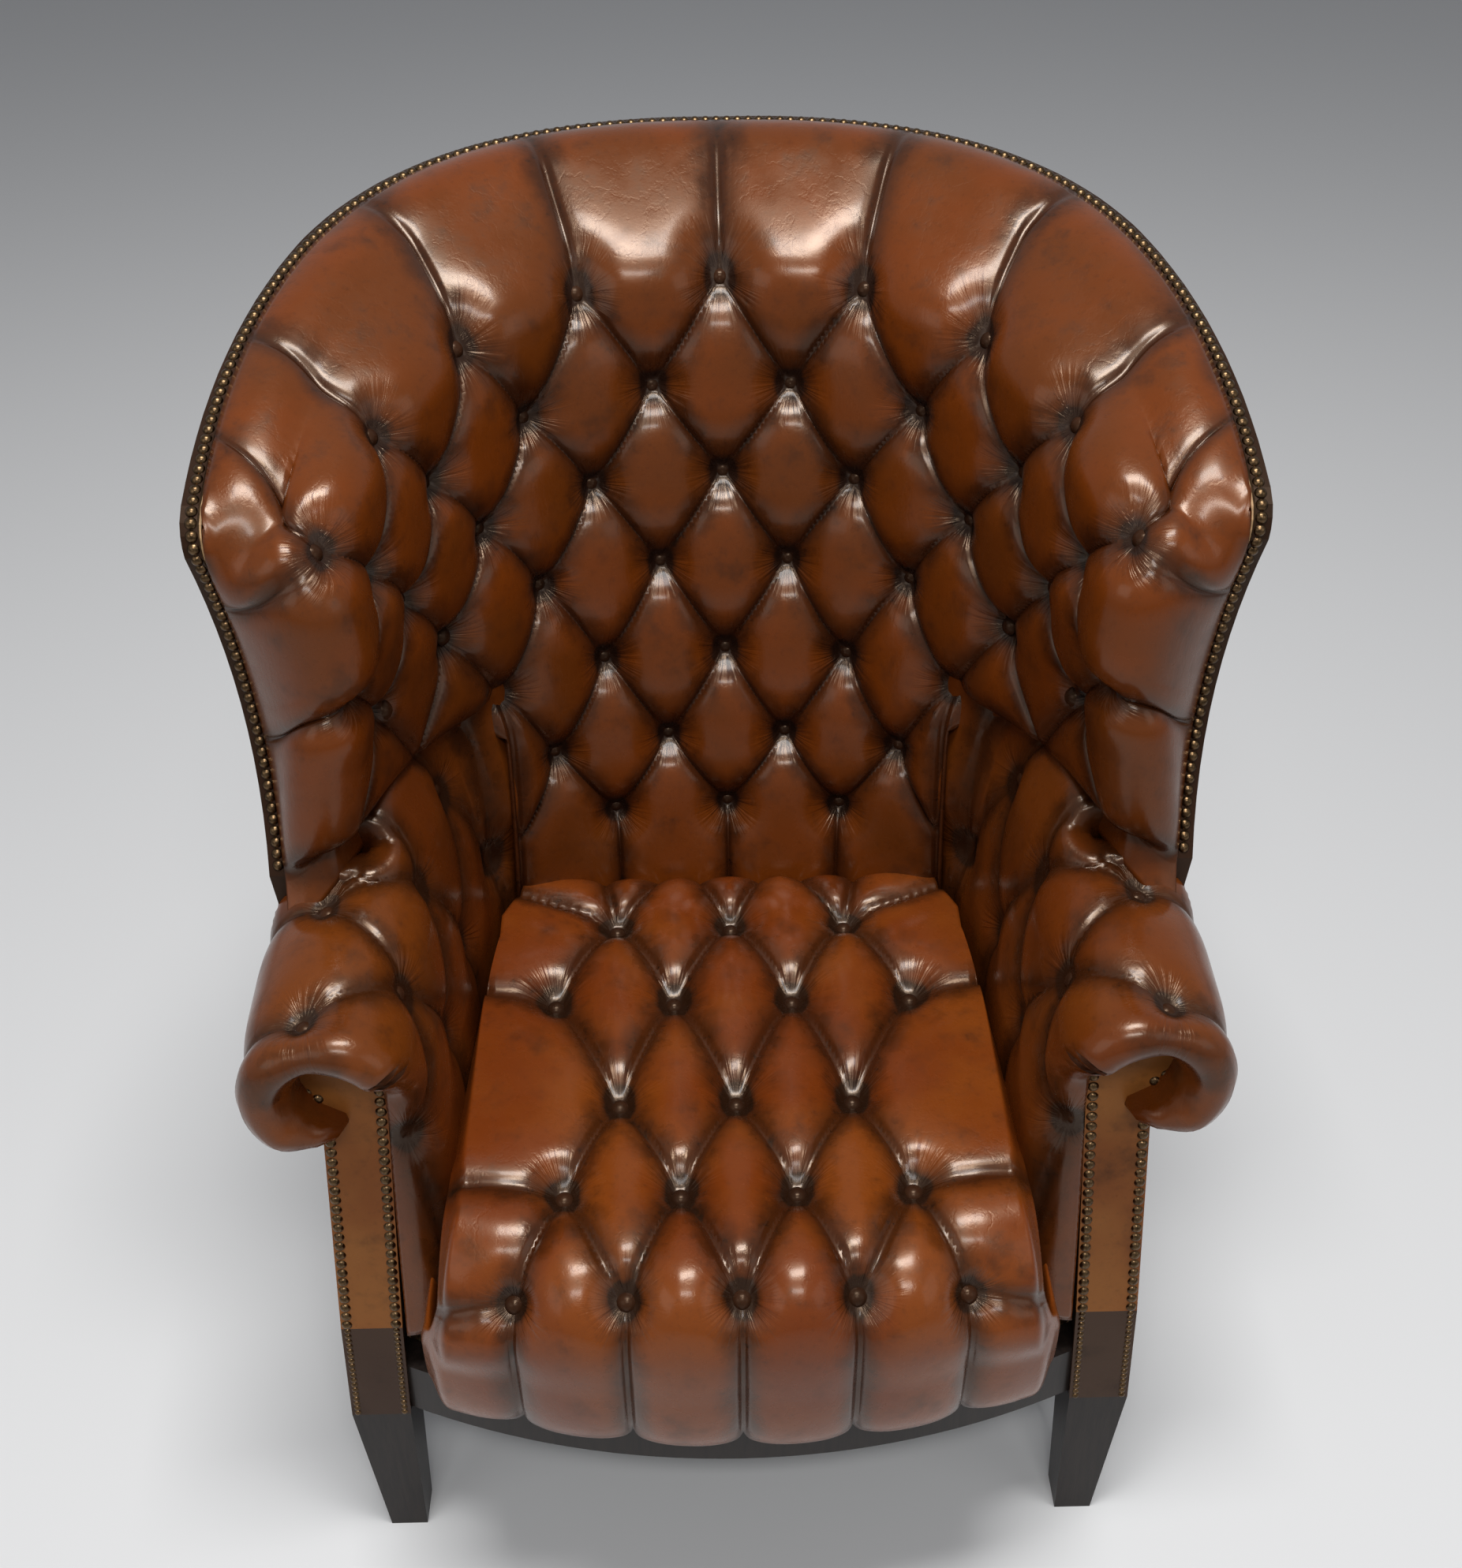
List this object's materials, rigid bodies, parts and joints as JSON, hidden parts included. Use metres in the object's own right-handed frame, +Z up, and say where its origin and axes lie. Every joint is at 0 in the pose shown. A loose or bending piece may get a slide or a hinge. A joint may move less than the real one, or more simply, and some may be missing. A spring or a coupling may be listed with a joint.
{
  "type": "hall porter chair",
  "caption": "Barrel-backed porter's armchair with wings and scroll arms, deep-buttoned in cognac leather and close-nailed in brass, standing on dark square tapered legs.",
  "frame": {"origin": "on the floor, under the middle of the chair's width and depth", "axes": "+X to the right of someone facing the chair's front, +Y from the seat's nose to the back, +Z up"},
  "size_m": [0.8144, 0.7966, 1.1653],
  "materials": {
    "buttoned_leather": "hand-dyed cognac leather, glossy, darker at pleats and edges",
    "outside_leather": "plain whisky brown leather, semi-gloss",
    "facing_leather": "tan leather, semi-gloss, rubbed",
    "stained_wood": "dark stained and polished beech",
    "frame_wood": "sawn beech",
    "antique_brass": "aged brass, dark in the hollows",
    "spring_steel": "drawn wire",
    "jute_webbing": "woven jute",
    "hessian": "plain woven jute",
    "stuffing": "curled hair",
    "lining_cloth": "black cotton"
  },
  "bodies": {
    "root": {"arm_buttons_left": "buttoned_leather", "arm_buttons_right": "buttoned_leather", "arm_facing_left": "facing_leather", "arm_facing_right": "facing_leather", "arm_rail_left": "frame_wood", "arm_rail_right": "frame_wood", "back_buttons": "buttoned_leather", "back_hessian": "hessian", "back_hoop": "frame_wood", "back_rail": "frame_wood", "back_slats": "frame_wood", "corner_blocks": "frame_wood", "corner_screws": "spring_steel", "dust_cover": "lining_cloth", "facing_nails_left": "antique_brass", "facing_nails_right": "antique_brass", "front_leg_left": "stained_wood", "front_leg_right": "stained_wood", "front_rail": "stained_wood", "inside_arm_left": "buttoned_leather", "inside_arm_right": "buttoned_leather", "inside_back": "buttoned_leather", "leg_panel_left": "outside_leather", "leg_panel_right": "outside_leather", "outside_arm_left": "outside_leather", "outside_arm_right": "outside_leather", "outside_back": "outside_leather", "panel_nails_left": "antique_brass", "panel_nails_right": "antique_brass", "rail_dowels": "frame_wood", "rear_leg_left": "stained_wood", "rear_leg_right": "stained_wood", "rim_band": "outside_leather", "rim_nails": "antique_brass", "seat_buttons": "buttoned_leather", "seat_cushion": "buttoned_leather", "seat_hessian": "hessian", "seat_springs": "spring_steel", "seat_stuffing": "stuffing", "seat_webbing_cross": "jute_webbing", "seat_webbing_long": "jute_webbing", "side_rail_left": "frame_wood", "side_rail_right": "frame_wood", "wing_post_left": "frame_wood", "wing_post_right": "frame_wood", "wing_rail_left": "frame_wood", "wing_rail_right": "frame_wood"}
  },
  "joints": []
}
